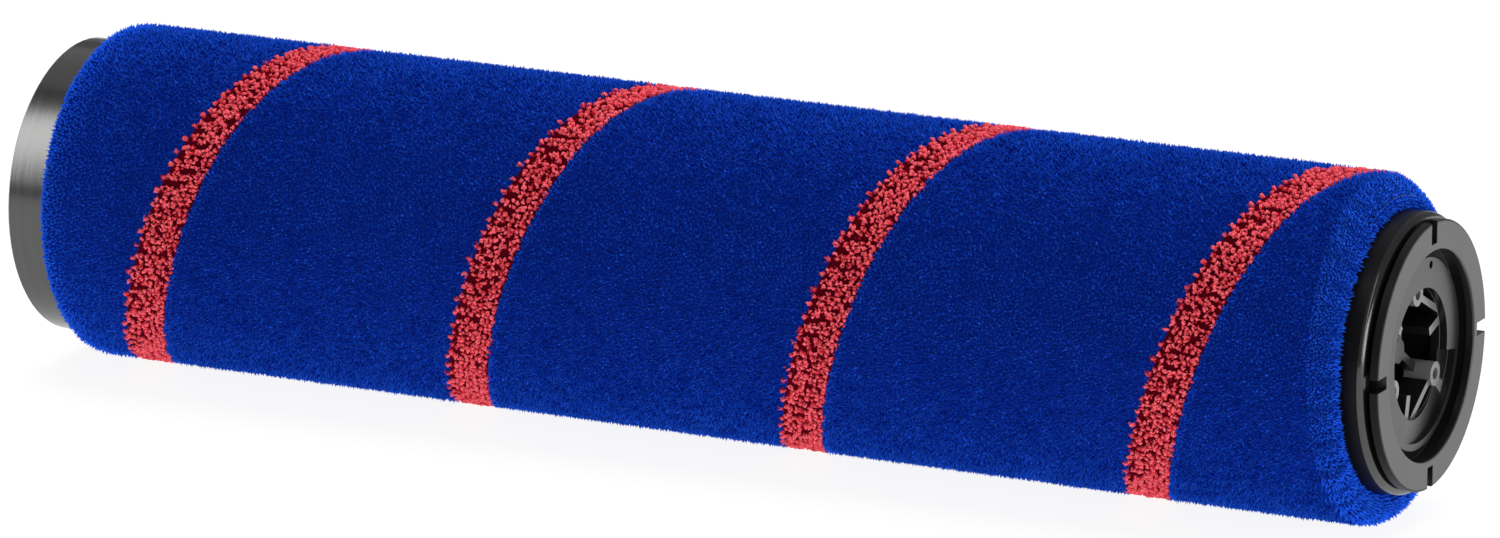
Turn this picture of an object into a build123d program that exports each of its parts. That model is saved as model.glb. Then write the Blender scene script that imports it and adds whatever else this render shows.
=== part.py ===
from build123d import *
from math import atan2, ceil, degrees
import os

# A soft roller for a vacuum cleaner head. The roll's axis lies along X. The open end of its
# tube is at X = 0, the bearing end points along +X, and Z is up. All sizes are in millimetres.

# The roll as a whole
roll_length = 228.0       # open tube end to the face of the notched ring
pile_radius = 26.0        # over the soft pile

# Aluminium tube
tube_wall = 1.6
tube_setback = 6.5        # tube end behind the notched ring's face
tube_chamfer = 0.3
register_depth = 30.0     # widened seat at the open end, for the motor housing
register_cut = 0.4        # taken from the wall in that seat

# Pile, wound on the tube as a broad blue strip and a narrow red one
pile_start = 6.8          # bare tube that shows at the open end
pile_overhang = 1.5       # pile past the tube's bearing end
pile_height = 3.15        # from the tube's outside to the pile's
pile_corner = 2.2         # rounding at the open end
pile_end_corner = 4.0     # rounding at the bearing end
pile_land = 0.2           # left flat on the bearing end, inside the rounding
pile_lip = 1.2            # pile turned in over the tube's end
flat_depth = 0.35         # flat spot on which the soft pile rests
stripe_pitch = 56.5       # one left-handed turn
stripe_width = 6.6        # along the axis
stripe_top = 42.96        # where the stripe first crosses the top
stripe_span = 0.7         # turns cut at a time, at most

# Moulded hub pressed into the bearing end of the tube
collar_step = 0.45        # collar below the tube's bore
collar_depth = 2.0        # collar face behind the notched ring's face
collar_round = 1.0
plug_clearance = 0.02
hub_wall = 2.73           # plug's outside to the bearing seat
key_count = 3
key_width = 5.0
key_length = 8.0
key_clearance = 0.1
key_tip = 0.3             # key top below the tube's outside
relief_depth = 3.0        # room for the snap barbs behind the bearing
relief_step = 2.1         # shoulder that the bearing stands against
web_thickness = 6.0
skirt_wall = 2.6
skirt_length = 15.0

# Drive socket and its screws
socket_clearance = 0.15
flange_thickness = 3.0
cup_margin = 1.0          # cup to the screw heads
cup_wall = 2.5
cup_length = 9.0
dog_count = 6
dog_width = 2.4
dog_height = 2.2
screw_count = 3
screw_margin = 1.8        # screw heads to the hub's skirt
screw_radius = 1.4
screw_length = 7.0        # under the head
screw_head_radius = 2.4
screw_head_height = 1.7
screw_hole_clearance = 0.2
pilot_clearance = 0.02
pilot_spare = 0.5         # pilot hole beyond the screw's tip
recess_width = 0.7
recess_length = 2.8
recess_depth = 1.0

# Thin ball bearing, which comes out at 25 x 37 x 7
bearing_depth = 5.0       # front face behind the notched ring's face
bearing_width = 7.0
race_wall = 1.9
race_gap = 2.2            # between the two races
ball_radius = 1.75
ball_count = 13
groove_clearance = 0.05
cage_clearance = 0.35
cage_width = 4.4
pocket_clearance = 0.1
seal_thickness = 0.5
seal_setback = 0.3
seal_gap = 0.2            # seal lip to inner race
retainer_wall = 1.3
retainer_length = 2.4

# End carrier that the roll turns on
ring_step = 0.8           # ring below the collar
ring_thickness = 1.25
ring_round = 0.3
shell_clearance = 0.4     # round the socket's shell, inside the retainer
shell_wall = 1.2
undercut = 0.4            # behind the ring, where the end cap's lugs turn
floor_depth = 1.8         # flat floor round the hole
floor_back = 4.4
channel_depth = 3.2       # round the floor, under the ring
channel_width = 1.8
boss_step = 0.2           # shoulder on the inner race, below that race's outside
hole_step = 1.15          # hole below the spigot's bore
spigot_clearance = 0.02
spigot_wall = 1.58
barb_height = 0.6
barb_gap = 0.1
barb_length = 1.5
notch_count = 4
notch_width = 2.0
notch_depth = 3.3
slot_count = 3
slot_width = 1.6
slot_length = 6.6
ramp_angle = 110.0        # arc of the ramp that is sunk in the floor
ramp_end = -10.0          # angle of its deep end, from +Y towards +Z
ramp_high_depth = 2.0
ramp_low_depth = 3.3
ramp_spare = 0.3          # cut above the floor and into the hole
ridge_width = 1.0         # floor left outside the ramp
fin_count = 3
fin_angle = 17.0
fin_thickness = 1.3
fin_height = 4.7
fin_depth = 3.0
fin_length = 7.6
arm_angle = 87.0
arm_width = 1.2
arm_depth = 5.2
arm_thickness = 1.6
arm_hub_radius = 1.8
pad_radius = 1.8          # round boss at each arm's root
pad_inset = 2.1           # its middle, in from the spigot's bore
pad_depth = 2.6
pad_hole_radius = 0.9
pad_hole_depth = 2.5
rib_width = 1.0           # from each boss to the next fin
rib_length = 4.0
pin_hole_radius = 0.6
pin_hole_depth = 1.0
pin_hole_angle = 76.0
pin_hole_inset = 1.1      # its middle, in from the floor's edge

# Sizes that follow from those above
tube_radius = pile_radius - pile_height
tube_bore = tube_radius - tube_wall
tube_length = roll_length - tube_setback
register_radius = tube_bore + register_cut
plug_radius = tube_bore - plug_clearance
pile_end = tube_length + pile_overhang
pile_length = pile_end - pile_start
pile_shoulder = pile_end_corner + pile_land
collar_radius = tube_bore - collar_step
collar_x = roll_length - collar_depth
bearing_radius = plug_radius - hub_wall
outer_race_bore = bearing_radius - race_wall
inner_race_radius = outer_race_bore - race_gap
bearing_bore_radius = inner_race_radius - race_wall
ball_circle = (outer_race_bore + inner_race_radius) / 2
cage_wall = race_gap - 2 * cage_clearance
bearing_front = roll_length - bearing_depth
bearing_rear = bearing_front - bearing_width
bearing_middle = bearing_front - bearing_width / 2
relief_radius = bearing_radius - relief_step
web_front = bearing_rear - relief_depth
web_rear = web_front - web_thickness
skirt_rear = web_rear - skirt_length
skirt_bore = plug_radius - skirt_wall
flange_rear = web_rear - flange_thickness
flange_radius = skirt_bore - socket_clearance
screw_circle = skirt_bore - screw_margin - screw_head_radius
cup_radius = screw_circle - screw_head_radius - cup_margin
cup_rear = flange_rear - cup_length
cup_bore = cup_radius - cup_wall
groove_radius = ball_radius + groove_clearance
retainer_bore = bearing_radius - retainer_wall
ring_radius = collar_radius - ring_step
notch_floor_radius = ring_radius - notch_depth
shell_radius = retainer_bore - shell_clearance
socket_radius = shell_radius - shell_wall
undercut_radius = socket_radius + undercut
boss_radius = inner_race_radius - boss_step
spigot_radius = bearing_bore_radius - spigot_clearance
spigot_bore = spigot_radius - spigot_wall
hole_radius = spigot_bore - hole_step
floor_radius = undercut_radius - channel_width
ramp_inner_radius = hole_radius - ramp_spare
ramp_outer_radius = floor_radius - ridge_width
pin_hole_circle = floor_radius - pin_hole_inset
fin_root_radius = spigot_bore + spigot_wall / 2
fin_inner_radius = spigot_bore - fin_height
pad_circle = spigot_bore - pad_inset
barb_radius = spigot_radius + barb_height
barb_front = bearing_rear - barb_gap
spigot_rear = barb_front - barb_length

# Aluminium tube, open at both ends, slotted for the hub's keys
with BuildPart() as core_tube:
    with BuildSketch(Plane.XZ):
        with BuildLine():
            Polyline(
                (0, register_radius),
                (register_depth, register_radius),
                (register_depth, tube_bore),
                (tube_length, tube_bore),
                (tube_length, tube_radius),
                (0, tube_radius),
                close=True,
            )
        make_face()
    revolve(axis=Axis.X)
    open_rim = core_tube.edges().filter_by(GeomType.CIRCLE).group_by(Axis.X)[0]
    chamfer(open_rim, tube_chamfer)
    with BuildSketch(Plane.YZ.offset(tube_length)):
        with PolarLocations(tube_radius, key_count):
            Rectangle(4 * tube_wall, key_width + 2 * key_clearance)
    extrude(amount=-key_length, mode=Mode.SUBTRACT)
core_tube.part.label = "core_tube"

# The whole pile before it is parted into its two strips
with BuildPart() as pile_blank:
    with BuildSketch(Plane.XZ):
        with BuildLine():
            Polyline(
                (pile_start, tube_radius),
                (tube_length, tube_radius),
                (tube_length, collar_radius),
                (tube_length + pile_lip, collar_radius),
                (pile_end, pile_radius - pile_shoulder),
                (pile_end, pile_radius),
                (pile_start, pile_radius),
                close=True,
            )
        make_face()
    revolve(axis=Axis.X)
    open_rim = pile_blank.edges().filter_by(GeomType.CIRCLE).group_by(SortBy.RADIUS)[-1].sort_by(Axis.X)[0]
    fillet(open_rim, pile_corner)
    end_rim = pile_blank.edges().filter_by(GeomType.CIRCLE).group_by(SortBy.RADIUS)[-1].sort_by(Axis.X)[-1]
    fillet(end_rim, pile_end_corner)
    with Locations((roll_length / 2, 0, flat_depth - pile_radius)):
        Box(
            roll_length,
            2 * pile_radius,
            pile_radius,
            align=(Align.CENTER, Align.CENTER, Align.MAX),
            mode=Mode.SUBTRACT,
        )

# Ribbons that follow the stripe along the whole roll, a little longer than the pile
ribbon_radius = (collar_radius + pile_radius) / 2
ribbon_height = 2 * (pile_radius - collar_radius)
ribbon_start = pile_start - stripe_width
ribbon_run = pile_length + 2 * stripe_width
ribbon_count = ceil(ribbon_run / (stripe_span * stripe_pitch))
ribbon_step = ribbon_run / ribbon_count
ribbons = []
for step in range(ribbon_count):
    step_start = ribbon_start + step * ribbon_step
    turned = 90 - 360 * (step_start - stripe_top) / stripe_pitch
    start_plane = Plane.YZ.offset(step_start).rotated((turned, 0, 0))
    path = Helix(stripe_pitch, ribbon_step, ribbon_radius, lefthand=True).moved(start_plane.location)
    with BuildPart() as ribbon:
        with BuildSketch(Plane(path @ 0, x_dir=start_plane.x_dir, z_dir=path % 0)):
            # The ribbon leans, so its width is taken square to its run
            Rectangle(ribbon_height, stripe_width * abs((path % 0).cross(start_plane.z_dir).length))
        sweep(path=path, is_frenet=True)
    ribbons.append(ribbon.part)
stripe_lengths = [pile_blank.part & ribbon for ribbon in ribbons]

# Broad strip of blue pile
with BuildPart() as blue_pile:
    add(pile_blank.part)
    for ribbon in ribbons:
        add(ribbon, mode=Mode.SUBTRACT)
blue_pile.part.label = "blue_pile"

# Narrow strip of red pile wound between the blue turns
with BuildPart() as red_pile:
    for stripe_length in stripe_lengths:
        add(stripe_length)
red_pile.part.label = "red_pile"

# Moulded hub: plug, collar, bearing seat, web and skirt in one
with BuildPart() as end_hub:
    with BuildSketch(Plane.XZ):
        with BuildLine():
            Polyline(
                (web_front, 0),
                (web_front, relief_radius),
                (bearing_rear, relief_radius),
                (bearing_rear, bearing_radius),
                (collar_x, bearing_radius),
                (collar_x, collar_radius),
                (tube_length, collar_radius),
                (tube_length, plug_radius),
                (skirt_rear, plug_radius),
                (skirt_rear, skirt_bore),
                (web_rear, skirt_bore),
                (web_rear, 0),
                close=True,
            )
        make_face()
    revolve(axis=Axis.X)
    collar_rim = end_hub.edges().filter_by(GeomType.CIRCLE).group_by(Axis.X)[-1].sort_by(SortBy.RADIUS)[-1]
    fillet(collar_rim, collar_round)
    with BuildSketch(Plane.YZ.offset(tube_length)):
        with PolarLocations(tube_radius - key_tip, key_count):
            Rectangle(tube_wall, key_width, align=(Align.MAX, Align.CENTER))
    extrude(amount=key_clearance - key_length)
    with BuildSketch(Plane.YZ.offset(web_rear)):
        with PolarLocations(screw_circle, screw_count):
            Circle(screw_radius + pilot_clearance)
    extrude(amount=screw_length - flange_thickness + pilot_spare, mode=Mode.SUBTRACT)
end_hub.part.label = "end_hub"

# Drive socket that the motor's dog turns, screwed to the hub's web
with BuildPart() as drive_socket:
    with BuildSketch(Plane.YZ.offset(flange_rear)):
        Circle(flange_radius)
        with PolarLocations(screw_circle, screw_count):
            Circle(screw_radius + screw_hole_clearance, mode=Mode.SUBTRACT)
    extrude(amount=flange_thickness)
    with BuildSketch(Plane.YZ.offset(cup_rear)):
        Circle(cup_radius)
        Circle(cup_bore, mode=Mode.SUBTRACT)
        with PolarLocations(cup_bore - dog_height, dog_count):
            Rectangle(dog_height + cup_wall / 2, dog_width, align=(Align.MIN, Align.CENTER))
    extrude(amount=cup_length)
drive_socket.part.label = "drive_socket"

# One screw, then all of them on the screw circle
screw_axis = Axis((0, screw_circle, 0), (1, 0, 0))
with BuildPart() as screw_blank:
    with BuildSketch(Plane.XZ.offset(-screw_circle)):
        with BuildLine():
            Polyline(
                (flange_rear - screw_head_height, 0),
                (flange_rear - screw_head_height, screw_head_radius),
                (flange_rear, screw_head_radius),
                (flange_rear, screw_radius),
                (flange_rear + screw_length, screw_radius),
                (flange_rear + screw_length, 0),
                close=True,
            )
        make_face()
    revolve(axis=screw_axis)
    head_rim = screw_blank.edges().filter_by(GeomType.CIRCLE).group_by(Axis.X)[0]
    fillet(head_rim, screw_head_height / 2)
    with BuildSketch(Plane.YZ.offset(flange_rear - screw_head_height)):
        with Locations((screw_circle, 0)):
            Rectangle(recess_width, recess_length)
            Rectangle(recess_length, recess_width)
    extrude(amount=recess_depth, mode=Mode.SUBTRACT)

with BuildPart() as drive_screws:
    for place in range(screw_count):
        add(screw_blank.part, rotation=(place * 360 / screw_count, 0, 0))
drive_screws.part.label = "drive_screws"

# Ball bearing: two grooved races, balls in a cage, and a seal at each face
with BuildPart() as bearing_outer_race:
    with BuildSketch(Plane.XZ):
        with Locations((bearing_rear, outer_race_bore)):
            Rectangle(bearing_width, bearing_radius - outer_race_bore, align=(Align.MIN, Align.MIN))
        with Locations((bearing_middle, ball_circle)):
            Circle(groove_radius, mode=Mode.SUBTRACT)
    revolve(axis=Axis.X)
bearing_outer_race.part.label = "bearing_outer_race"

with BuildPart() as bearing_inner_race:
    with BuildSketch(Plane.XZ):
        with Locations((bearing_rear, bearing_bore_radius)):
            Rectangle(bearing_width, inner_race_radius - bearing_bore_radius, align=(Align.MIN, Align.MIN))
        with Locations((bearing_middle, ball_circle)):
            Circle(groove_radius, mode=Mode.SUBTRACT)
    revolve(axis=Axis.X)
bearing_inner_race.part.label = "bearing_inner_race"

with BuildPart() as bearing_balls:
    with Locations(Plane.YZ.offset(bearing_middle)):
        with PolarLocations(ball_circle, ball_count):
            Sphere(ball_radius)
bearing_balls.part.label = "bearing_balls"

with BuildPart() as bearing_cage:
    with BuildSketch(Plane.XZ):
        with Locations((bearing_middle, ball_circle)):
            Rectangle(cage_width, cage_wall)
    revolve(axis=Axis.X)
    with Locations(Plane.YZ.offset(bearing_middle)):
        with PolarLocations(ball_circle, ball_count):
            Cylinder(ball_radius + pocket_clearance, 2 * cage_wall, rotation=(0, 90, 0), mode=Mode.SUBTRACT)
bearing_cage.part.label = "bearing_cage"

with BuildPart() as bearing_front_seal:
    with BuildSketch(Plane.YZ.offset(bearing_front - seal_setback)):
        Circle(outer_race_bore)
        Circle(inner_race_radius + seal_gap, mode=Mode.SUBTRACT)
    extrude(amount=-seal_thickness)
bearing_front_seal.part.label = "bearing_front_seal"

with BuildPart() as bearing_rear_seal:
    with BuildSketch(Plane.YZ.offset(bearing_rear + seal_setback)):
        Circle(outer_race_bore)
        Circle(inner_race_radius + seal_gap, mode=Mode.SUBTRACT)
    extrude(amount=seal_thickness)
bearing_rear_seal.part.label = "bearing_rear_seal"

# Ring pressed into the hub in front of the bearing
with BuildPart() as bearing_retainer:
    with BuildSketch(Plane.YZ.offset(bearing_front)):
        Circle(bearing_radius)
        Circle(retainer_bore, mode=Mode.SUBTRACT)
    extrude(amount=retainer_length)
bearing_retainer.part.label = "bearing_retainer"

# Cut for the bayonet ramp, swept up the turn that it takes
ramp_height = ramp_low_depth - ramp_high_depth
ramp_pitch = ramp_height * 360 / ramp_angle
ramp_radius = (ramp_inner_radius + ramp_outer_radius) / 2
ramp_plane = Plane.YZ.offset(roll_length - ramp_low_depth).rotated((ramp_end, 0, 0))
ramp_path = Helix(ramp_pitch, ramp_height, ramp_radius, lefthand=True).moved(ramp_plane.location)
cut_height = ramp_low_depth - floor_depth + ramp_spare
with BuildPart() as ramp_cut:
    with BuildSketch(Plane(ramp_path @ 0, x_dir=ramp_plane.x_dir, z_dir=ramp_path % 0)):
        Rectangle(ramp_outer_radius - ramp_inner_radius, cut_height, align=(Align.CENTER, Align.MIN))
    sweep(path=ramp_path, is_frenet=True)

# End carrier: notched ring, bayonet socket and snap spigot in one moulding
with BuildPart() as end_carrier:
    with BuildSketch(Plane.XZ):
        with BuildLine():
            Polyline(
                (roll_length, socket_radius),
                (roll_length, ring_radius),
                (roll_length - ring_thickness, ring_radius),
                (roll_length - ring_thickness, shell_radius),
                (roll_length - floor_back, shell_radius),
                (roll_length - floor_back, boss_radius),
                (bearing_front, boss_radius),
                (bearing_front, spigot_radius),
                (barb_front, spigot_radius),
                (barb_front, barb_radius),
                (spigot_rear, spigot_radius - barb_height),
                (spigot_rear, spigot_bore),
                (roll_length - floor_back, spigot_bore),
                (roll_length - floor_back, hole_radius),
                (roll_length - floor_depth, hole_radius),
                (roll_length - floor_depth, floor_radius),
                (roll_length - channel_depth, floor_radius),
                (roll_length - channel_depth, undercut_radius),
                (roll_length - ring_thickness, undercut_radius),
                (roll_length - ring_thickness, socket_radius),
                close=True,
            )
        make_face()
    revolve(axis=Axis.X)
    fillet(end_carrier.edges().filter_by(GeomType.CIRCLE).group_by(Axis.X)[-1], ring_round)
    # Notches through the ring
    with BuildSketch(Plane.YZ.offset(roll_length)):
        with PolarLocations(notch_floor_radius, notch_count):
            Rectangle(ring_radius, notch_width, align=(Align.MIN, Align.CENTER))
    extrude(amount=-ring_thickness, mode=Mode.SUBTRACT)
    # Slots that free the spigot's snap fingers
    with BuildSketch(Plane.YZ.offset(spigot_rear)):
        with PolarLocations(spigot_bore, slot_count, start_angle=(fin_angle + arm_angle) / 2):
            Rectangle(barb_radius, slot_width)
    extrude(amount=slot_length, mode=Mode.SUBTRACT)
    # Ramp sunk in the floor
    add(ramp_cut.part, mode=Mode.SUBTRACT)
    # Fins along the hole
    with BuildSketch(Plane.YZ.offset(roll_length - fin_depth)):
        with PolarLocations(fin_inner_radius, fin_count, start_angle=fin_angle):
            Rectangle(fin_root_radius - fin_inner_radius, fin_thickness, align=(Align.MIN, Align.CENTER))
    extrude(amount=-fin_length)
    # Arms that meet in a small hub, across the hole
    with BuildSketch(Plane.YZ.offset(roll_length - arm_depth)):
        with PolarLocations(0, fin_count, start_angle=arm_angle):
            Rectangle(fin_root_radius, arm_width, align=(Align.MIN, Align.CENTER))
        Circle(arm_hub_radius)
    extrude(amount=-arm_thickness)
    # Ribs from the arms' bosses to the fins' roots
    boss_middle = Vector(pad_circle, 0).rotate(Axis.Z, arm_angle)
    fin_root = Vector(fin_root_radius, 0).rotate(Axis.Z, fin_angle)
    rib_run = fin_root - boss_middle
    rib_turn = degrees(atan2(rib_run.Y, rib_run.X)) - arm_angle
    with BuildSketch(Plane.YZ.offset(roll_length - fin_depth)):
        with PolarLocations(pad_circle, fin_count, start_angle=arm_angle):
            Rectangle(rib_run.length, rib_width, rotation=rib_turn, align=(Align.MIN, Align.CENTER))
    extrude(amount=-rib_length)
    # A boss with a blind hole at each arm's root
    with BuildSketch(Plane.YZ.offset(roll_length - pad_depth)):
        with PolarLocations(pad_circle, fin_count, start_angle=arm_angle):
            Circle(pad_radius)
    extrude(amount=pad_depth - arm_depth - arm_thickness)
    with BuildSketch(Plane.YZ.offset(roll_length - pad_depth)):
        with PolarLocations(pad_circle, fin_count, start_angle=arm_angle):
            Circle(pad_hole_radius)
    extrude(amount=-pad_hole_depth, mode=Mode.SUBTRACT)
    # Pin hole in the socket's floor
    with BuildSketch(Plane.YZ.offset(roll_length - floor_depth)):
        with PolarLocations(pin_hole_circle, 1, start_angle=pin_hole_angle):
            Circle(pin_hole_radius)
    extrude(amount=-pin_hole_depth, mode=Mode.SUBTRACT)
end_carrier.part.label = "end_carrier"

# One file for each piece
os.makedirs("parts", exist_ok=True)
export_step(core_tube.part, "parts/core_tube.step")
export_step(blue_pile.part, "parts/blue_pile.step")
export_step(red_pile.part, "parts/red_pile.step")
export_step(end_hub.part, "parts/end_hub.step")
export_step(drive_socket.part, "parts/drive_socket.step")
export_step(drive_screws.part, "parts/drive_screws.step")
export_step(bearing_outer_race.part, "parts/bearing_outer_race.step")
export_step(bearing_inner_race.part, "parts/bearing_inner_race.step")
export_step(bearing_balls.part, "parts/bearing_balls.step")
export_step(bearing_cage.part, "parts/bearing_cage.step")
export_step(bearing_front_seal.part, "parts/bearing_front_seal.step")
export_step(bearing_rear_seal.part, "parts/bearing_rear_seal.step")
export_step(bearing_retainer.part, "parts/bearing_retainer.step")
export_step(end_carrier.part, "parts/end_carrier.step")
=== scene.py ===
import math

import bpy
import numpy as np
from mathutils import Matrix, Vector


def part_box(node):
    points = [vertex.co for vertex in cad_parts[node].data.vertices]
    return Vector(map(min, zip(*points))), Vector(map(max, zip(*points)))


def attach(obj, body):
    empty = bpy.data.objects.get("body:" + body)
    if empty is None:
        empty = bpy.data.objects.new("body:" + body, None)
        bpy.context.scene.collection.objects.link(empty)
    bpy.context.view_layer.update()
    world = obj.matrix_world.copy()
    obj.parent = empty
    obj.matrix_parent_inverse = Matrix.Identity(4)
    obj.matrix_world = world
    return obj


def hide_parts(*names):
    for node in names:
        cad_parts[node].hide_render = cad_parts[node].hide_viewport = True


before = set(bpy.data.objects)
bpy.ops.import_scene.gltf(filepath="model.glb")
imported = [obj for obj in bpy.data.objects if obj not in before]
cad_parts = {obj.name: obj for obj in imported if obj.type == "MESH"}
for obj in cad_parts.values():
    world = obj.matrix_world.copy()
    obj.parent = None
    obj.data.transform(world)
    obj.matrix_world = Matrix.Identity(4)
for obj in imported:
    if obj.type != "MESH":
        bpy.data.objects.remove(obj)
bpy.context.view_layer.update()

MM = 0.001
SEED = 52
FULL_TURN = 2 * math.pi

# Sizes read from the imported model, in metres
tube_low, tube_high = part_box("core_tube")
pile_low, pile_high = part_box("blue_pile")
carrier_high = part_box("end_carrier")[1]
TUBE_RADIUS = (tube_high.y - tube_low.y) / 2
TUBE_END = tube_high.x
PILE_RADIUS = (pile_high.y - pile_low.y) / 2
PILE_START = pile_low.x
PILE_END = pile_high.x
FLOOR_HEIGHT = pile_low.z
COLLAR_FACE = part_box("end_hub")[1].x
RING_FACE = carrier_high.x
RING_RADIUS = carrier_high.y

# The pile's section and its stripe, as the part's source has them
COLLAR_RADIUS = 20.8 * MM
OPEN_CORNER = 2.2 * MM
BEARING_CORNER = 4.0 * MM
PILE_LIP = 1.2 * MM
PILE_SHOULDER = 4.2 * MM
STRIPE_PITCH = 56.5 * MM
STRIPE_WIDTH = 6.6 * MM
STRIPE_TOP = 42.96 * MM

# Where the red shows: blue pile closes over both ends of the stripe
STRIPE_START = PILE_START + 1.0 * MM
STRIPE_END = PILE_END - BEARING_CORNER

# Sag of the soft pile at the bearing end
TOP_DROOP = 3.4 * MM
LOW_DROOP = 2.0 * MM
DROOP_LENGTH = 9.0 * MM

# Cloth under the fibres
GROUND_DEPTH = 0.6 * MM
GROUND_CLEARANCE = 0.02 * MM
GROUND_END_GAP = 0.05 * MM
GROUND_FIRST_STEP = 6.0 * MM
GROUND_STEPS = 60
GROUND_CORNER_STEPS = 12
GROUND_SIDES = 160
SORT_POINT = (0.37, 0.11, 0.23)

# Blue fibres
BLUE_STEP = 0.5 * MM
BLUE_WIDTH = 0.55 * MM
BLUE_HEIGHT = 0.7 * MM
BLUE_LEAN = 0.12 * MM
BLUE_PIECES = 4
BLUE_CLEAR_LEFT = 0.25 * MM
BLUE_COVER_RIGHT = 0.1 * MM
FINE_MOTTLE = 1.1 * MM
BROAD_MOTTLE = 3.5 * MM
SPECK_SHARE = 0.05
# Reaches of the painted highlight at the open rim
PAINTED_RIM_GLOW = 6.0 * MM
PAINTED_OPEN_GLOW = 16.0 * MM
BESIDE_STRIPE = (-0.2 * MM, 1.2 * MM)

# Red tufts, in rows across the stripe. Every third row is a notch, barest at the left edge
RED_STEP = 0.78 * MM
RED_FIBRES = 9
RED_PIECES = 2
RED_HEIGHT = 1.3 * MM
RED_FIBRE_WIDTH = 0.34 * MM
RED_GAP = 0.04
NOTCH_GAP = (0.75, 0.08)
TUFT_ROWS = 3
TOOTH_LEAN = 0.8

# Polished edge of the hub's collar
GLEAM_DEPTH = 0.95 * MM
GLEAM_WIDTH = 1.3 * MM

# Places of the end carrier painted with a reflection on its front and with highlights on its fins and
# bosses, whose bosses and fins are as the part's source has them
FACE_SKIN = 0.1 * MM
RING_EDGE = 0.3 * MM
SUNK_DEPTH = 2.5 * MM
FIN_DEPTH = 3.0 * MM
FIN_SKIN = 0.05 * MM
BOSS_CIRCLE = 8.8 * MM
BOSS_RADIUS = 1.85 * MM
BOSS_ANGLES = [math.radians(degrees) for degrees in (87.0, 207.0, 327.0)]

# Grain of moulded plastic
GRAIN_SCALE = 2600.0
GRAIN_HEIGHT = 0.1 * MM

# Camera, at the photograph's viewing angle
CAMERA_AZIMUTH = math.radians(27.15)
CAMERA_ELEVATION = math.radians(14.5)
CAMERA_DISTANCE = 1.4
CAMERA_TARGET = Vector((0.1064, 0.0202, -0.0060))
CAMERA_LENS = 219.6
CAMERA_SENSOR = 36.0
CAMERA_REACH = 100.0

# Studio
FLOOR_SIZE = 30.0
FLOOR_GAP = 0.02 * MM
ROLL_MIDDLE = (0.11, 0.0, 0.0)
OPEN_END = (0.0, 0.0, 0.0)
BEARING_END = (0.228, 0.0, 0.0)
SKY_STRENGTH = 0.2


class Value:
    """A socket in a shader, with which maths is written as expressions."""

    def __init__(self, shader, socket):
        self.shader = shader
        self.socket = socket

    def math(self, operation, first, second=0.0):
        return self.shader.node("ShaderNodeMath", {"operation": operation}, {0: first, 1: second})

    def __add__(self, other):
        return self.math("ADD", self, other)

    def __radd__(self, other):
        return self.math("ADD", other, self)

    def __sub__(self, other):
        return self.math("SUBTRACT", self, other)

    def __rsub__(self, other):
        return self.math("SUBTRACT", other, self)

    def __mul__(self, other):
        return self.math("MULTIPLY", self, other)

    def __rmul__(self, other):
        return self.math("MULTIPLY", other, self)

    def __truediv__(self, other):
        return self.math("DIVIDE", self, other)

    def __lt__(self, other):
        return self.math("LESS_THAN", self, other)

    def absolute(self):
        return self.math("ABSOLUTE", self)

    def rounded(self):
        return self.math("ROUND", self)

    def angle_from(self, other):
        return self.math("ARCTAN2", self, other)

    def clamped(self):
        return self.shader.node("ShaderNodeClamp", {}, {"Value": self})


class Shader:
    """A new material and the nodes that are made for it."""

    def __init__(self, name):
        self.material = bpy.data.materials.new(name)
        self.material.use_nodes = True
        self.tree = self.material.node_tree
        self.surface = self.tree.nodes["Principled BSDF"]

    def node(self, kind, settings=None, sockets=None, output=0):
        made = self.tree.nodes.new(kind)
        for setting, value in (settings or {}).items():
            setattr(made, setting, value)
        for socket, value in (sockets or {}).items():
            self.join(made.inputs[socket], value)
        return Value(self, made.outputs[output])

    def join(self, socket, value):
        if isinstance(value, Value):
            self.tree.links.new(value.socket, socket)
        elif socket.type == "RGBA":
            socket.default_value = (*value, 1.0)
        else:
            socket.default_value = value

    def set(self, **sockets):
        for name, value in sockets.items():
            self.join(self.surface.inputs[name.replace("_", " ")], value)

    def show(self, look):
        self.join(self.tree.nodes["Material Output"].inputs["Surface"], look)

    def spot(self):
        return self.node("ShaderNodeTexCoord", output="Object")

    def axes(self):
        spot = self.spot()
        return [self.node("ShaderNodeSeparateXYZ", {}, {0: spot}, axis) for axis in "XYZ"]

    def noise(self, scale, stretch=(1.0, 1.0, 1.0), detail=2.0):
        place = self.node("ShaderNodeMapping", {}, {"Vector": self.spot(), "Scale": stretch})
        return self.node("ShaderNodeTexNoise", {}, {"Vector": place, "Scale": scale, "Detail": detail})

    def attribute(self, name):
        return self.node("ShaderNodeAttribute", {"attribute_name": name}, output="Fac")

    def mix(self, factor, first, second):
        colours = {"Factor": factor, 6: first, 7: second}
        return self.node("ShaderNodeMix", {"data_type": "RGBA"}, colours, output=2)

    def mix_looks(self, factor, first, second):
        return self.node("ShaderNodeMixShader", {}, {0: factor, 1: first, 2: second})

    def blend_light(self, share, strength):
        """The plain surface with a share of light of its own."""
        plain = Value(self, self.surface.outputs[0])
        light = self.node("ShaderNodeEmission", {}, {"Strength": strength})
        return self.mix_looks(share, plain, light)

    def bump(self, height, strength, distance):
        relief = {"Height": height, "Strength": strength, "Distance": distance}
        return self.node("ShaderNodeBump", {}, relief)


def turned_aluminium():
    shader = Shader("turned_aluminium")
    lines = shader.noise(900.0, (1.0, 0.004, 0.004), 3.0)
    cloud = shader.noise(60.0)
    shader.set(
        Base_Color=shader.mix(lines, (0.09, 0.09, 0.09), (0.125, 0.125, 0.123)),
        Metallic=1.0,
        Roughness=0.15 + 0.08 * lines + 0.04 * cloud,
        Normal=shader.bump(lines, 0.05, 0.2 * MM),
    )
    return shader.material


def satin_plastic(name, colour, lit_colour, roughness, gloss):
    shader = Shader(name)
    grain = shader.noise(GRAIN_SCALE)
    cloud = shader.noise(70.0)
    shader.set(
        Base_Color=shader.mix(cloud, colour, lit_colour),
        Roughness=roughness + 0.1 * cloud,
        Normal=shader.bump(grain, 0.06, GRAIN_HEIGHT),
        Specular_IOR_Level=gloss,
    )
    return shader.material


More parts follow.
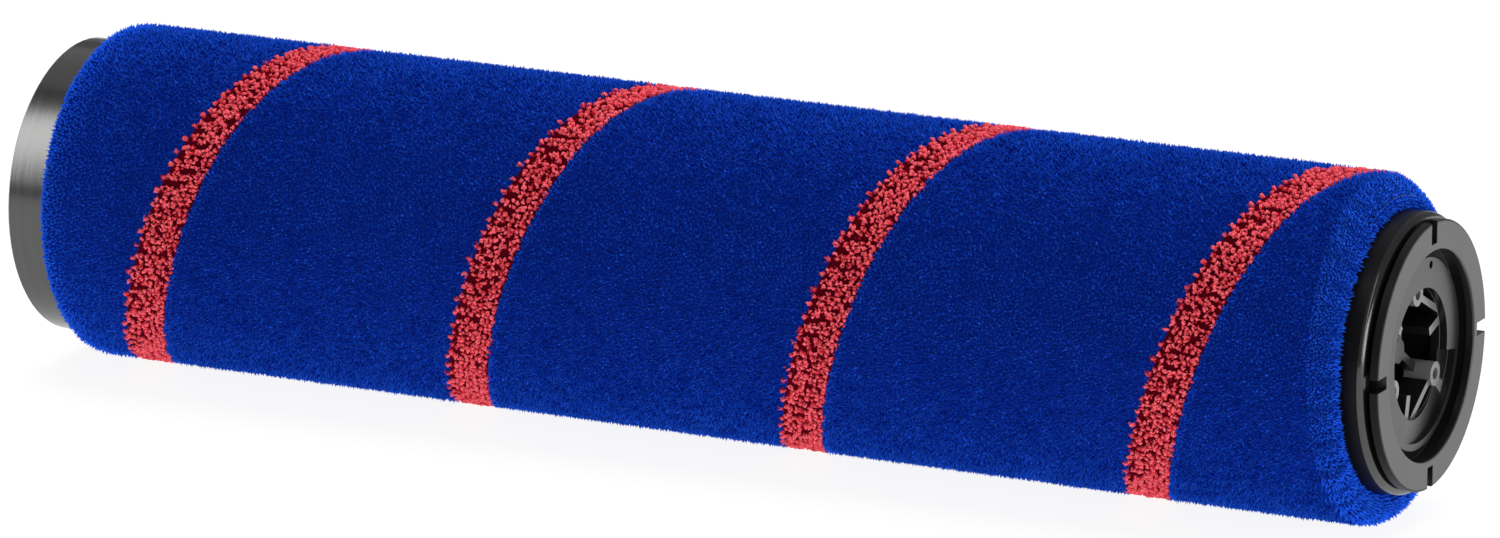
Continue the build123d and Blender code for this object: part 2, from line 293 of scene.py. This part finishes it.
def hub_plastic():
    """Dull black moulding with a polished edge round its collar."""
    shader = Shader("hub_plastic")
    grain = shader.noise(GRAIN_SCALE)
    cloud = shader.noise(70.0)
    along, across, up = shader.axes()
    front = along * -1.0 < GLEAM_DEPTH - COLLAR_FACE
    inside = across * across + up * up < (COLLAR_RADIUS - GLEAM_WIDTH) ** 2
    shader.set(
        Base_Color=shader.mix(cloud, (0.003, 0.003, 0.0035), (0.006, 0.006, 0.0065)),
        Roughness=0.28 + 0.1 * cloud,
        Normal=shader.bump(grain, 0.05, GRAIN_HEIGHT),
        Specular_IOR_Level=0.1,
        Coat_Weight=0.5 * front * (1.0 - inside),
        Coat_Roughness=0.15,
        Coat_IOR=2.2,
    )
    return shader.material


def carrier_plastic():
    """Black moulding whose rougher front is painted paler as a painted reflection, and palest where painted
    highlights sit on its fins and bosses.
    """
    shader = Shader("carrier_plastic")
    grain = shader.noise(GRAIN_SCALE)
    cloud = shader.noise(90.0)
    along, across, up = shader.axes()
    behind = along < RING_FACE - FACE_SKIN
    sunk = along < RING_FACE - SUNK_DEPTH
    within = across * across + up * up < (RING_RADIUS - RING_EDGE) ** 2
    # Painted highlights: the fronts of the fins and the bosses, deep in the socket, are painted pale
    painted_highlight_places = (along - RING_FACE + FIN_DEPTH).absolute() < FIN_SKIN
    for turn in BOSS_ANGLES:
        sideways = across - BOSS_CIRCLE * math.cos(turn)
        upwards = up - BOSS_CIRCLE * math.sin(turn)
        painted_highlight_places = painted_highlight_places + (sideways * sideways + upwards * upwards < BOSS_RADIUS**2)
    # Walls keep the moulding's own black; the front face is painted paler as a painted reflection, and the
    # pale colour is the painted highlight
    walls = shader.mix(cloud, (0.005, 0.005, 0.0055), (0.009, 0.009, 0.0095))
    face_painted_reflection = shader.mix(cloud, (0.026, 0.026, 0.027), (0.043, 0.043, 0.044))
    pale = shader.mix(cloud, (0.12, 0.12, 0.122), (0.18, 0.18, 0.182))
    shader.set(
        Base_Color=shader.mix(painted_highlight_places.clamped() * sunk, shader.mix(behind, face_painted_reflection, walls), pale),
        Roughness=0.4 - 0.12 * behind + 0.08 * cloud,
        Normal=shader.bump(grain, 0.06, GRAIN_HEIGHT),
        Specular_IOR_Level=0.1,
        Coat_Weight=0.7 * within,
        Coat_Roughness=0.25,
    )
    return shader.material


def ground_steel(name, colour, bright, roughness):
    shader = Shader(name)
    lines = shader.noise(1500.0, (1.0, 0.02, 0.02))
    shader.set(
        Base_Color=shader.mix(lines, colour, bright),
        Metallic=1.0,
        Roughness=roughness + 0.1 * lines,
    )
    return shader.material


def seal_rubber():
    shader = Shader("seal_rubber")
    cloud = shader.noise(400.0)
    shader.set(
        Base_Color=shader.mix(cloud, (0.012, 0.012, 0.012), (0.03, 0.03, 0.03)),
        Roughness=0.6 + 0.2 * cloud,
    )
    return shader.material


def pile_fibre(name, painted_shade_root, dark, light, glow, sheen):
    """Yarn from dark to light by its tint, darkest towards its base by painted shade, with a glow at its
    edges.
    """
    shader = Shader(name)
    tint = shader.attribute("tint")
    tip = shader.attribute("tip")
    yarn = shader.mix(tint, dark, light)
    shader.set(
        # Painted shade: each fibre is darkened towards its base
        Base_Color=shader.mix((2.0 * tip + 0.1).clamped(), painted_shade_root, yarn),
        Roughness=0.7 + 0.2 * tint,
        Sheen_Weight=sheen,
        Sheen_Roughness=0.4,
        Sheen_Tint=glow,
        Specular_IOR_Level=0.0,
    )
    return shader.material


def pile_ground_cloth():
    """Woven cloth under the fibres, blue with the red stripe, whose red is darkened by painted shade."""
    shader = Shader("pile_ground_cloth")
    along, across, up = shader.axes()
    cycle = (along - STRIPE_TOP) / STRIPE_PITCH - across.angle_from(up) / FULL_TURN
    stripe = (cycle - cycle.rounded()).absolute() < STRIPE_WIDTH / STRIPE_PITCH / 2
    stripe = stripe * (along < STRIPE_END) * (1.0 - (along < STRIPE_START))
    weave = shader.noise(2400.0)
    blue = shader.mix(weave, (0.0018, 0.012, 0.17), (0.0035, 0.022, 0.28))
    # The red under the stripe is far darker than the tufts: painted shade in the pits between them
    red = shader.mix(weave, (0.05, 0.0008, 0.004), (0.09, 0.0015, 0.008))
    shader.set(Base_Color=shader.mix(stripe, blue, red), Roughness=0.9, Specular_IOR_Level=0.0)
    return shader.material


def stripe_offset(along, angle):
    """Distance along the axis from the middle of the stripe. The angle is from +Z towards +Y."""
    cycle = (along - STRIPE_TOP) / STRIPE_PITCH - angle / FULL_TURN
    return (cycle - np.round(cycle)) * STRIPE_PITCH


def pile_outline(step):
    """Points along the pile's outer section as (x, radius) with outward normals, about step apart."""
    corner_left = (PILE_START + OPEN_CORNER, PILE_RADIUS - OPEN_CORNER)
    corner_right = (PILE_END - BEARING_CORNER, PILE_RADIUS - BEARING_CORNER)
    points, normals = [], []

    def run(start, end, normal):
        count = max(1, round(math.dist(start, end) / step))
        for i in range(count):
            t = (i + 0.5) / count
            points.append((start[0] + t * (end[0] - start[0]), start[1] + t * (end[1] - start[1])))
            normals.append(normal)

    def arc(centre, size, first, last):
        count = round(size * abs(last - first) / step)
        for i in range(count):
            angle = first + (i + 0.5) / count * (last - first)
            normal = (math.cos(angle), math.sin(angle))
            points.append((centre[0] + size * normal[0], centre[1] + size * normal[1]))
            normals.append(normal)

    run((PILE_START, TUBE_RADIUS), (PILE_START, corner_left[1]), (-1.0, 0.0))
    arc(corner_left, OPEN_CORNER, math.pi, math.pi / 2)
    run((corner_left[0], PILE_RADIUS), (corner_right[0], PILE_RADIUS), (0.0, 1.0))
    arc(corner_right, BEARING_CORNER, math.pi / 2, 0.0)
    slope_start = (PILE_END, PILE_RADIUS - PILE_SHOULDER)
    slope_end = (TUBE_END + PILE_LIP, COLLAR_RADIUS)
    slope = Vector((slope_start[1] - slope_end[1], slope_end[0] - slope_start[0])).normalized()
    run(slope_start, slope_end, (slope.x, slope.y))
    return np.array(points), np.array(normals)


def spread_over_pile(step, random):
    """Jittered places all over the pile: x, angle, radius and the section's outward normal."""
    points, normals = pile_outline(step)
    rows = []
    for (x, radius), (normal_x, normal_radius) in zip(points, normals):
        count = max(3, round(FULL_TURN * radius / step))
        turn = np.arange(count) + random.uniform() + random.uniform(-0.4, 0.4, count)
        along = x + random.uniform(-0.45, 0.45, count) * step * abs(normal_radius)
        steady = np.tile([radius, normal_x, normal_radius], (count, 1))
        rows.append(np.column_stack([along, turn * FULL_TURN / count, steady]))
    return np.concatenate(rows)


def droop(spots):
    """The soft pile hangs a little at the bearing end: in at the top and out at the bottom."""
    near_end = np.clip((spots[:, 0] - PILE_END + DROOP_LENGTH) / DROOP_LENGTH, 0.0, 1.0)
    reach = np.hypot(spots[:, 1], spots[:, 2])
    free = np.clip((reach - COLLAR_RADIUS) / (PILE_RADIUS - COLLAR_RADIUS), 0.0, 1.0)
    depth = np.where(spots[:, 2] > 0.0, TOP_DROOP, LOW_DROOP)
    spots[:, 0] -= depth * near_end**2 * free * spots[:, 2] / PILE_RADIUS
    return spots


def round_the_axis(x, radius, angle):
    return np.column_stack([x, radius * np.sin(angle), radius * np.cos(angle)])


def grow_fibres(name, roots, tips, width, tint, material, blunt=False):
    """Slim three-sided fibres as one mesh, riding on the roll. A blunt one is widest at its tip."""
    count = len(roots)
    axis = tips - roots
    axis /= np.linalg.norm(axis, axis=1)[:, None]
    side = np.cross(axis, np.array([1.0, 0.31, 0.17]))
    side /= np.linalg.norm(side, axis=1)[:, None]
    other = np.cross(axis, side)
    turn = np.random.default_rng(SEED).uniform(0, FULL_TURN, count)
    broad, point = (tips, roots) if blunt else (roots, tips)
    vertices = np.empty((count, 4, 3))
    for corner in range(3):
        angle = turn + corner * FULL_TURN / 3
        offset = side * np.cos(angle)[:, None] + other * np.sin(angle)[:, None]
        vertices[:, corner] = broad + offset * width / 2
    vertices[:, 3] = point
    vertices = droop(vertices.reshape(-1, 3)).reshape(count, 4, 3)
    vertices[:, :, 2] = np.maximum(vertices[:, :, 2], FLOOR_HEIGHT)
    pattern = np.array([[0, 1, 3], [1, 2, 3], [2, 0, 3], [2, 1, 0]])
    pattern = pattern[:, ::-1] if blunt else pattern
    faces = (np.arange(count)[:, None, None] * 4 + pattern[None]).reshape(-1, 3)
    mesh = bpy.data.meshes.new(name)
    mesh.vertices.add(count * 4)
    mesh.vertices.foreach_set("co", vertices.reshape(-1))
    mesh.loops.add(len(faces) * 3)
    mesh.loops.foreach_set("vertex_index", faces.reshape(-1))
    mesh.polygons.add(len(faces))
    mesh.polygons.foreach_set("loop_start", np.arange(len(faces)) * 3)
    mesh.polygons.foreach_set("use_smooth", np.ones(len(faces), bool))
    mesh.update(calc_edges=True)
    mesh.attributes.new("tint", "FLOAT", "POINT").data.foreach_set("value", np.repeat(tint, 4))
    tip = [1.0, 1.0, 1.0, 0.0] if blunt else [0.0, 0.0, 0.0, 1.0]
    mesh.attributes.new("tip", "FLOAT", "POINT").data.foreach_set("value", np.tile(tip, count))
    fibres = bpy.data.objects.new(name, mesh)
    bpy.context.scene.collection.objects.link(fibres)
    mesh.materials.append(material)
    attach(fibres, "roll")


def lathe(name, section, sides):
    """A closed ring turned about the roll's axis from a section of (x, radius) points."""
    bpy.ops.object.select_all(action="DESELECT")
    first_x, first_radius = section[0]
    bpy.ops.mesh.primitive_circle_add(
        vertices=sides, radius=first_radius, location=(first_x, 0, 0), rotation=(0, math.pi / 2, 0)
    )
    ring = bpy.context.object
    ring.name = name
    bpy.ops.object.transform_apply(location=True, rotation=True, scale=True)
    bpy.ops.object.mode_set(mode="EDIT")
    bpy.ops.mesh.select_all(action="SELECT")
    for (x, radius), (next_x, next_radius) in zip(section, section[1:]):
        bpy.ops.mesh.extrude_region_move(TRANSFORM_OT_translate={"value": (next_x - x, 0, 0)})
        ratio = next_radius / radius
        bpy.ops.transform.resize(value=(1, ratio, ratio), center_override=(next_x, 0, 0))
    bpy.ops.mesh.select_all(action="SELECT")
    bpy.ops.mesh.region_to_loop()
    bpy.ops.mesh.bridge_edge_loops()
    bpy.ops.mesh.select_all(action="SELECT")
    bpy.ops.mesh.normals_make_consistent(inside=False)
    # Extruding leaves the faces in a chance order, so they are sorted by distance from a point off the axis
    bpy.context.scene.cursor.location = SORT_POINT
    bpy.ops.mesh.sort_elements(type="CURSOR_DISTANCE", elements={"VERT", "EDGE", "FACE"})
    bpy.ops.object.mode_set(mode="OBJECT")
    bpy.ops.object.shade_smooth_by_angle(angle=math.radians(35))
    return ring


def ground_section():
    """The cloth's section: a little inside the pile's own, and just clear of tube and collar."""
    outer = PILE_RADIUS - GROUND_DEPTH
    open_corner = OPEN_CORNER - GROUND_DEPTH / 2
    corner = BEARING_CORNER - GROUND_DEPTH / 2
    left = PILE_START + GROUND_DEPTH / 2
    corner_x = PILE_END - GROUND_DEPTH - corner
    on_tube = TUBE_RADIUS + GROUND_CLEARANCE
    on_collar = COLLAR_RADIUS + GROUND_CLEARANCE
    section = [
        (left, on_tube),
        (left, outer - open_corner),
        (left + 0.3 * open_corner, outer - 0.3 * open_corner),
        (left + open_corner, outer),
    ]
    for x in np.linspace(left + open_corner + GROUND_FIRST_STEP, corner_x, GROUND_STEPS):
        section.append((x, outer))
    for angle in np.linspace(math.pi / 2, 0.0, GROUND_CORNER_STEPS)[1:]:
        radius = outer - corner + corner * math.sin(angle)
        section.append((corner_x + corner * math.cos(angle), radius))
    section.append((TUBE_END + PILE_LIP / 2, on_collar))
    section.append((TUBE_END + GROUND_END_GAP, on_collar))
    section.append((TUBE_END + GROUND_END_GAP, on_tube))
    return section


def make_pile_ground():
    ground = lathe("pile_ground", ground_section(), GROUND_SIDES)
    for vertex in ground.data.vertices:
        vertex.co = droop(np.array([vertex.co]))[0]
    ground.data.materials.append(pile_ground_cloth())
    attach(ground, "roll")
    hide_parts("blue_pile", "red_pile")


def mottle(x, angle, cell, random):
    """Soft random patches over the roll, about one cell across, from 0 to 1."""
    around = round(FULL_TURN * PILE_RADIUS / cell)
    grid = random.uniform(0, 1, (round((PILE_END - PILE_START) / cell) + 3, around))
    row = (x - PILE_START) / cell + 0.5
    column = angle / FULL_TURN * around
    low_row, low_column = np.floor(row).astype(int), np.floor(column).astype(int)
    part_row, part_column = row - low_row, column - low_column
    left, right = low_column % around, (low_column + 1) % around
    near = grid[low_row, left] * (1 - part_column) + grid[low_row, right] * part_column
    far = grid[low_row + 1, left] * (1 - part_column) + grid[low_row + 1, right] * part_column
    return near * (1 - part_row) + far * part_row


def blue_tint(x, angle, normal_x, random):
    """How light each blue fibre is: mottled, streaked on the bearing end with a painted highlight strongest
    on its lower side, and lit by a painted highlight at the open rim.
    """
    count = len(x)
    tint = 0.25 * random.uniform(0, 1, count) - 0.2
    tint += 0.3 * mottle(x, angle, FINE_MOTTLE, random) + 0.16 * mottle(x, angle, BROAD_MOTTLE, random)
    tint += np.where(random.uniform(0, 1, count) < SPECK_SHARE, random.uniform(0.2, 0.7, count), 0.0)
    # Streaks of parted fibres on the bearing end, lightened there by a painted highlight that is strongest
    # on the lower side
    streak = 0.5 + 0.3 * np.sin(37 * angle + 2 * np.sin(5 * angle)) + 0.2 * np.sin(83 * angle)
    painted_low_highlight = np.clip(-np.cos(angle), 0.0, 1.0)
    tint += np.where(normal_x > 0.15, (0.7 + 0.9 * painted_low_highlight) * streak, 0.0)
    # Painted highlight at the open rim, strong near the edge and faint further in
    tint += 1.5 * np.clip(1.0 - (x - PILE_START) / PAINTED_RIM_GLOW, 0.0, 1.0) ** 2
    tint += 0.3 * np.clip(1.0 - (x - PILE_START) / PAINTED_OPEN_GLOW, 0.0, 1.0)
    beside = stripe_offset(x, angle) - STRIPE_WIDTH / 2
    tint += np.where((beside > BESIDE_STRIPE[0]) & (beside < BESIDE_STRIPE[1]), 0.3, 0.0)
    return tint


def make_blue_pile():
    random = np.random.default_rng(SEED)
    places = spread_over_pile(BLUE_STEP, random)
    offset = stripe_offset(places[:, 0], places[:, 1])
    clear_left = offset < -STRIPE_WIDTH / 2 - BLUE_CLEAR_LEFT
    clear_right = offset > STRIPE_WIDTH / 2 - BLUE_COVER_RIGHT
    past_stripe = (places[:, 0] < STRIPE_START) | (places[:, 0] > STRIPE_END)
    x, angle, radius, normal_x, normal_radius = places[clear_left | clear_right | past_stripe].T
    count = len(x)
    surface = round_the_axis(x, radius, angle)
    outward = round_the_axis(normal_x, normal_radius, angle)
    height = BLUE_HEIGHT * random.uniform(0.9, 1.1, count)
    lean = random.normal(0, BLUE_LEAN, (count, 3))
    roots = surface - outward * BLUE_HEIGHT
    tips = roots + outward * height[:, None] + lean
    tint = blue_tint(x, angle, normal_x, random)
    material = pile_fibre(
        "blue_pile_fibre",
        painted_shade_root=(0.0008, 0.006, 0.105),
        dark=(0.0011, 0.0125, 0.235),
        light=(0.012, 0.1, 0.8),
        glow=(0.03, 0.2, 1.0),
        sheen=1.0,
    )
    for piece, chosen in enumerate(np.array_split(np.argsort(x), BLUE_PIECES)):
        name = f"blue_fibres_{piece + 1}"
        grow_fibres(name, roots[chosen], tips[chosen], BLUE_WIDTH, tint[chosen], material)


def pile_radius_at(x):
    """Radius of the pile's outside, rounded off at both ends."""
    open_drop = np.clip(PILE_START + OPEN_CORNER - x, 0.0, OPEN_CORNER)
    end_drop = np.clip(x - PILE_END + BEARING_CORNER, 0.0, BEARING_CORNER)
    open_side = OPEN_CORNER - np.sqrt(OPEN_CORNER**2 - open_drop**2)
    end_side = BEARING_CORNER - np.sqrt(BEARING_CORNER**2 - end_drop**2)
    return PILE_RADIUS - open_side - end_side


def place_tufts(random):
    """The red tufts' x and angle in rows along the stripe, and which of them lean out at its left edge."""
    length = PILE_END - PILE_START
    run = length / STRIPE_PITCH * math.hypot(FULL_TURN * PILE_RADIUS, STRIPE_PITCH)
    rows = round(run / RED_STEP)
    across = round(STRIPE_WIDTH / RED_STEP)
    row, column = np.meshgrid(np.arange(rows), np.arange(across), indexing="ij")
    row, column = row.ravel(), column.ravel()
    count = len(row)
    middle_x = PILE_START + (row + 0.5 + random.uniform(-0.25, 0.25, count)) / rows * length
    angle = FULL_TURN * (middle_x - STRIPE_TOP) / STRIPE_PITCH
    offset = ((column + 0.5) / across - 0.5) * STRIPE_WIDTH + random.uniform(-0.2, 0.2, count) * MM
    tooth = (column == 0) & (row % TUFT_ROWS == 0)
    x = middle_x + offset
    notch = row % TUFT_ROWS == TUFT_ROWS - 1
    bare = np.where(notch, np.interp(column, [0, across - 1], NOTCH_GAP), RED_GAP)
    kept = (x > STRIPE_START) & (x < STRIPE_END) & (random.uniform(0, 1, count) > bare)
    return x[kept], angle[kept], tooth[kept]


def make_red_pile():
    random = np.random.default_rng(SEED + 1)
    x, angle, tooth = place_tufts(random)
    count = len(x)
    radius = pile_radius_at(x) - RED_HEIGHT
    height = RED_HEIGHT * random.uniform(0.75, 1.05, count)
    lean = random.normal(0, 0.12, (count, 2)) * MM
    lean[:, 0] -= np.where(tooth, TOOTH_LEAN, 0.0) * MM
    each = np.repeat(np.arange(count), RED_FIBRES)
    splay = random.normal(0, 0.18, (len(each), 2)) * MM
    spread = np.linalg.norm(splay, axis=1) / MM
    # Painted shade: the fibres splayed out to a tuft's edge are darker
    tint = 1.12 - 2.2 * spread + random.uniform(-0.35, 0.35, count)[each]
    tint += random.uniform(-0.15, 0.15, len(each))
    root_x = x[each] + 0.6 * splay[:, 0]
    root_turn = angle[each] + 0.6 * splay[:, 1] / PILE_RADIUS
    tip_x = x[each] + 1.2 * splay[:, 0] + lean[each, 0]
    tip_turn = angle[each] + (1.2 * splay[:, 1] + lean[each, 1]) / PILE_RADIUS
    dome = np.clip(1.05 - 0.6 * spread, 0.5, 1.0)
    tip_radius = radius[each] + height[each] * dome
    roots = round_the_axis(root_x, radius[each], root_turn)
    tips = round_the_axis(tip_x, tip_radius, tip_turn)
    material = pile_fibre(
        "red_pile_fibre",
        painted_shade_root=(0.22, 0.001, 0.006),
        dark=(0.54, 0.0075, 0.024),
        light=(0.98, 0.15, 0.19),
        glow=(1.0, 0.12, 0.16),
        sheen=0.2,
    )
    for piece, chosen in enumerate(np.array_split(np.arange(len(each)), RED_PIECES)):
        name = f"red_fibres_{piece + 1}"
        grow_fibres(
            name, roots[chosen], tips[chosen], RED_FIBRE_WIDTH, tint[chosen], material, blunt=True
        )


def paint_cad_nodes():
    black = satin_plastic("satin_black_plastic", (0.006, 0.006, 0.007), (0.012, 0.012, 0.013), 0.24, 0.3)
    grey = satin_plastic("satin_grey_plastic", (0.10, 0.10, 0.11), (0.16, 0.16, 0.17), 0.4, 0.4)
    cage = satin_plastic("cage_nylon", (0.52, 0.48, 0.38), (0.64, 0.6, 0.48), 0.45, 0.4)
    race = ground_steel("race_steel", (0.50, 0.50, 0.51), (0.64, 0.64, 0.64), 0.18)
    ball = ground_steel("ball_steel", (0.66, 0.66, 0.67), (0.76, 0.76, 0.77), 0.05)
    zinc = ground_steel("screw_zinc", (0.46, 0.46, 0.45), (0.60, 0.60, 0.58), 0.28)
    rubber = seal_rubber()
    finishes = {
        "core_tube": turned_aluminium(),
        "end_hub": hub_plastic(),
        "end_carrier": carrier_plastic(),
        "bearing_retainer": black,
        "drive_socket": grey,
        "drive_screws": zinc,
        "bearing_outer_race": race,
        "bearing_inner_race": race,
        "bearing_balls": ball,
        "bearing_cage": cage,
        "bearing_front_seal": rubber,
        "bearing_rear_seal": rubber,
    }
    for node, material in finishes.items():
        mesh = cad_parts[node].data
        mesh.materials.clear()
        mesh.materials.append(material)


def make_floor():
    """A pale floor that looks white, keeps the shadow and throws light back up at the roll."""
    bpy.ops.object.select_all(action="DESELECT")
    bpy.ops.mesh.primitive_plane_add(size=FLOOR_SIZE, location=(0, 0, FLOOR_HEIGHT - FLOOR_GAP))
    floor = bpy.context.object
    floor.name = "studio_floor"
    shader = Shader("pale_floor")
    shader.set(Base_Color=(0.95, 0.95, 0.95), Roughness=0.9)
    camera_ray = shader.node("ShaderNodeLightPath", output="Is Camera Ray")
    glossy_ray = shader.node("ShaderNodeLightPath", output="Is Glossy Ray")
    clear_ray = shader.node("ShaderNodeLightPath", output="Is Transmission Ray")
    seen = (camera_ray + glossy_ray + clear_ray).clamped()
    shown = shader.blend_light(0.87, 1.04)
    bounced = shader.blend_light(0.7, 1.9)
    shader.show(shader.mix_looks(seen, bounced, shown))
    floor.data.materials.append(shader.material)


def add_softbox(name, place, target, size, power, diffuse=True, glossy=True):
    """A soft light. Without diffuse it shows only as a gleam, and without glossy it makes none."""
    lamp = bpy.data.lights.new(name, "AREA")
    lamp.shape = "RECTANGLE"
    lamp.size, lamp.size_y = size
    lamp.energy = power
    box = bpy.data.objects.new(name, lamp)
    bpy.context.scene.collection.objects.link(box)
    box.location = place
    box.rotation_euler = (Vector(place) - Vector(target)).to_track_quat("Z", "Y").to_euler()
    box.visible_diffuse = diffuse
    box.visible_glossy = glossy


def light_the_studio():
    add_softbox("left_softbox", (-0.33, -0.39, 0.405), OPEN_END, (0.2, 0.78), 0.75)
    add_softbox("left_gleam", (-0.335, -0.396, 0.411), OPEN_END, (0.203, 0.79), 1.83, diffuse=False)
    add_softbox("top_softbox", (0.15, 0.45, 1.15), ROLL_MIDDLE, (2.2, 1.6), 32.0, glossy=False)
    add_softbox("right_softbox", (1.0, -0.25, 0.08), ROLL_MIDDLE, (0.5, 0.5), 3.8)
    add_softbox("front_softbox", (0.708, -0.54, 0.53), BEARING_END, (0.12, 1.2), 1.35, diffuse=False)
    add_softbox("back_softbox", (-0.44, 0.45, 0.78), OPEN_END, (0.8, 0.8), 0.75)
    world = bpy.data.worlds.new("studio_world")
    bpy.context.scene.world = world
    world.use_nodes = True
    sky = world.node_tree.nodes["Background"]
    sky.inputs["Color"].default_value = (1.0, 1.0, 1.0, 1.0)
    sky.inputs["Strength"].default_value = SKY_STRENGTH


def set_camera():
    lens = bpy.data.cameras.new("photo_camera")
    lens.lens = CAMERA_LENS
    lens.sensor_width = CAMERA_SENSOR
    lens.clip_end = CAMERA_REACH
    camera = bpy.data.objects.new("photo_camera", lens)
    bpy.context.scene.collection.objects.link(camera)
    towards = Vector(
        (
            math.sin(CAMERA_AZIMUTH) * math.cos(CAMERA_ELEVATION),
            -math.cos(CAMERA_AZIMUTH) * math.cos(CAMERA_ELEVATION),
            math.sin(CAMERA_ELEVATION),
        )
    )
    camera.location = CAMERA_TARGET + towards * CAMERA_DISTANCE
    camera.rotation_euler = towards.to_track_quat("Z", "Y").to_euler()
    bpy.context.scene.camera = camera


bpy.context.scene.view_settings.view_transform = "Standard"
paint_cad_nodes()
make_pile_ground()
make_blue_pile()
make_red_pile()
make_floor()
light_the_studio()
set_camera()
